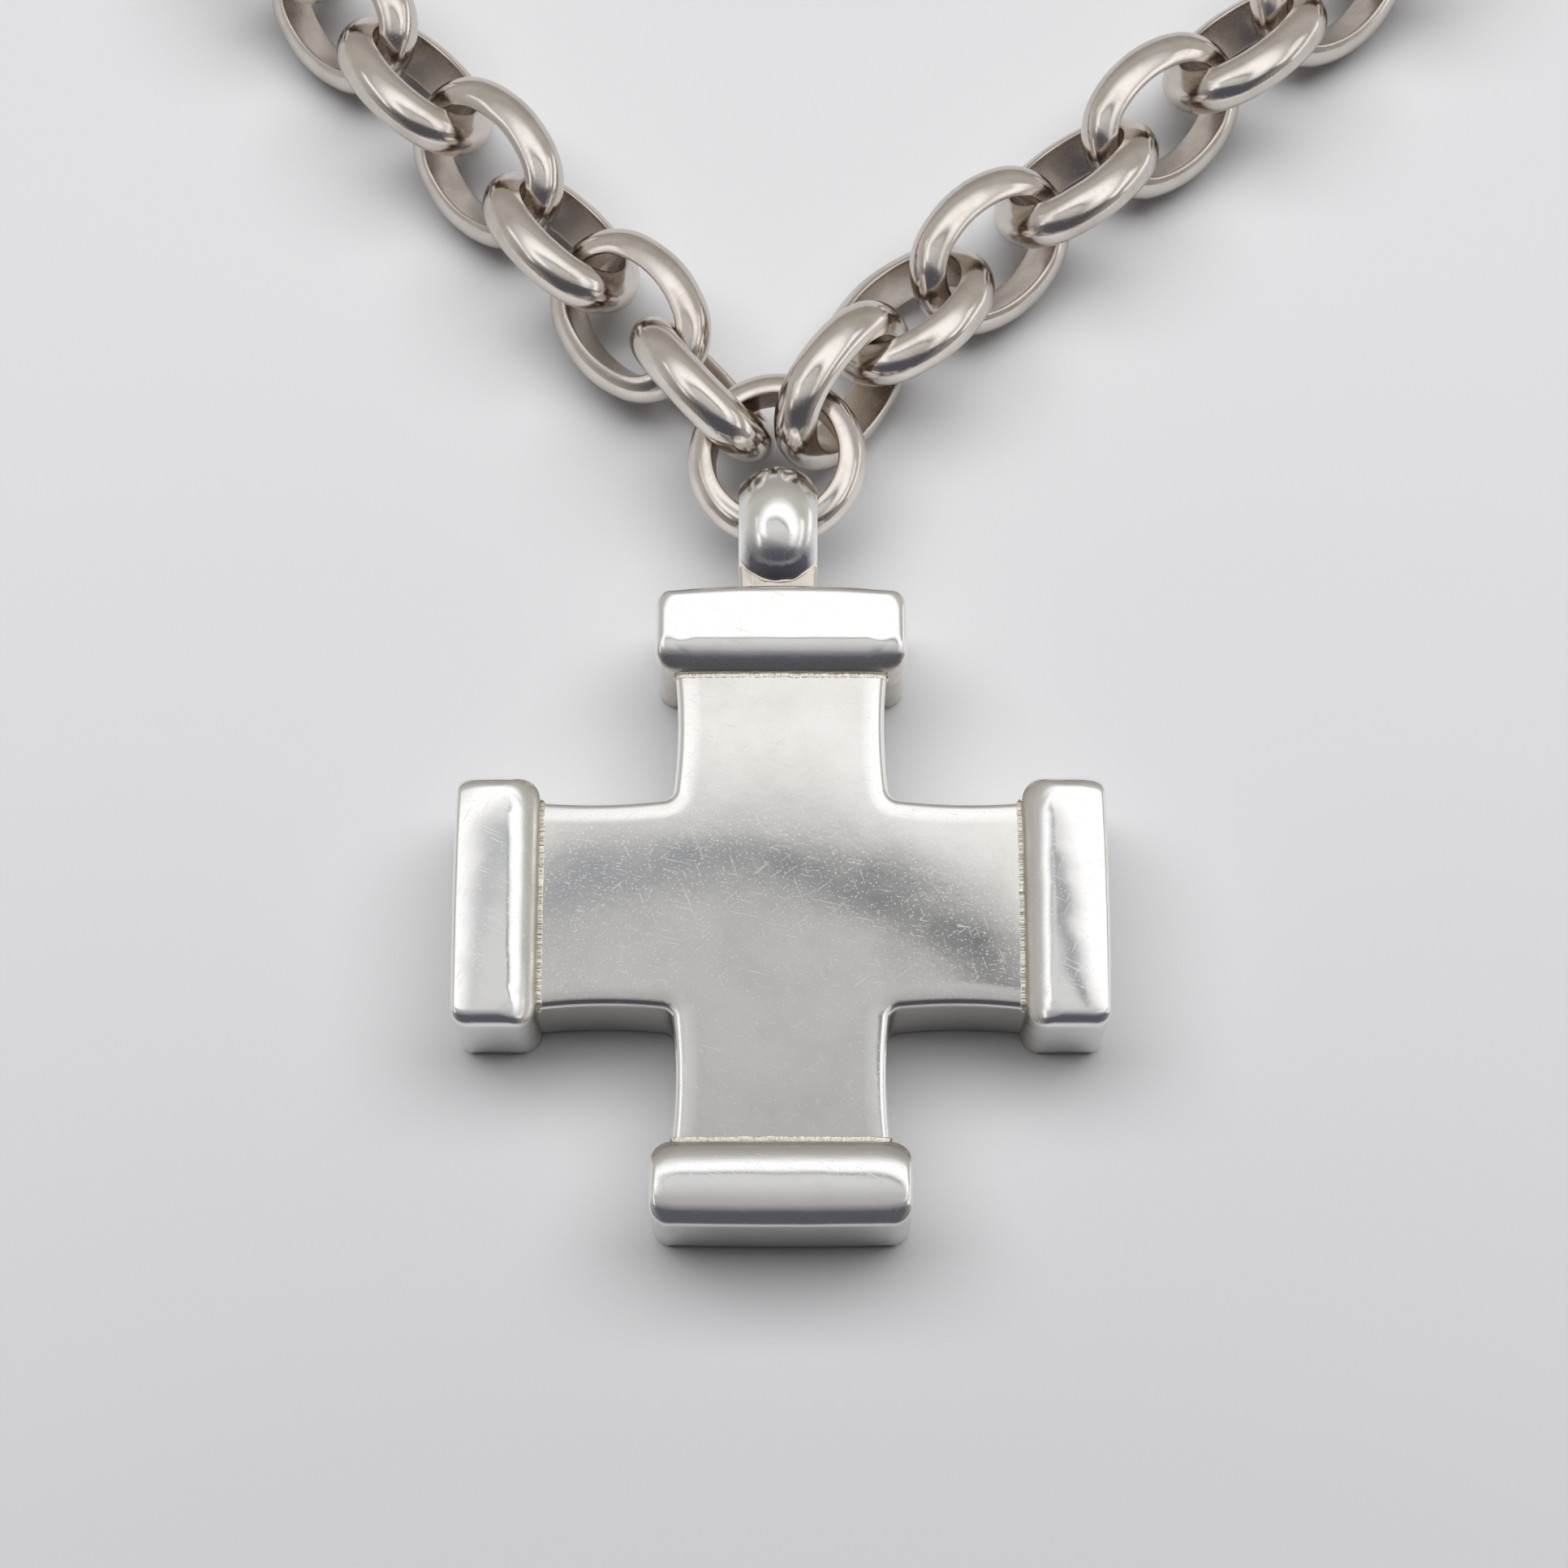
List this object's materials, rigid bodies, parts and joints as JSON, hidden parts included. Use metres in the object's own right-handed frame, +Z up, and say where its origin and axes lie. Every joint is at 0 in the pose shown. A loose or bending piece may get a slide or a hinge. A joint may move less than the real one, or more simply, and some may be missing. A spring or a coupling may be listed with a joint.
{
  "type": "cross necklace",
  "caption": "Thick cross pendant with rounded end caps and a half-round bail, on a heavy half-round link chain closed by a plain barrel clasp, lying flat.",
  "frame": {"origin": "middle of the cross's flat back, on the surface the necklace lies on", "axes": "+Y from the cross to its bail, +Z up out of the cross's face, +X to the right seen from above"},
  "size_m": [0.1416, 0.2162, 0.0097],
  "materials": {
    "polished_silver": "polished, fine wear scratches",
    "chain_silver": "polished, light brown tarnish in the contacts"
  },
  "bodies": {
    "root": {"clasp": "polished_silver", "connector_ring": "chain_silver", "cross_pendant": "polished_silver", "link_l01": "chain_silver", "link_l02": "chain_silver", "link_l03": "chain_silver", "link_l04": "chain_silver", "link_l05": "chain_silver", "link_l06": "chain_silver", "link_l07": "chain_silver", "link_l08": "chain_silver", "link_l09": "chain_silver", "link_l10": "chain_silver", "link_l11": "chain_silver", "link_l12": "chain_silver", "link_l13": "chain_silver", "link_l14": "chain_silver", "link_l15": "chain_silver", "link_l16": "chain_silver", "link_l17": "chain_silver", "link_l18": "chain_silver", "link_l19": "chain_silver", "link_l20": "chain_silver", "link_r01": "chain_silver", "link_r02": "chain_silver", "link_r03": "chain_silver", "link_r04": "chain_silver", "link_r05": "chain_silver", "link_r06": "chain_silver", "link_r07": "chain_silver", "link_r08": "chain_silver", "link_r09": "chain_silver", "link_r10": "chain_silver", "link_r11": "chain_silver", "link_r12": "chain_silver", "link_r13": "chain_silver", "link_r14": "chain_silver", "link_r15": "chain_silver", "link_r16": "chain_silver", "link_r17": "chain_silver", "link_r18": "chain_silver", "link_r19": "chain_silver", "link_r20": "chain_silver", "run_l1": "chain_silver", "run_l2": "chain_silver", "run_r1": "chain_silver", "run_r2": "chain_silver"}
  },
  "joints": []
}
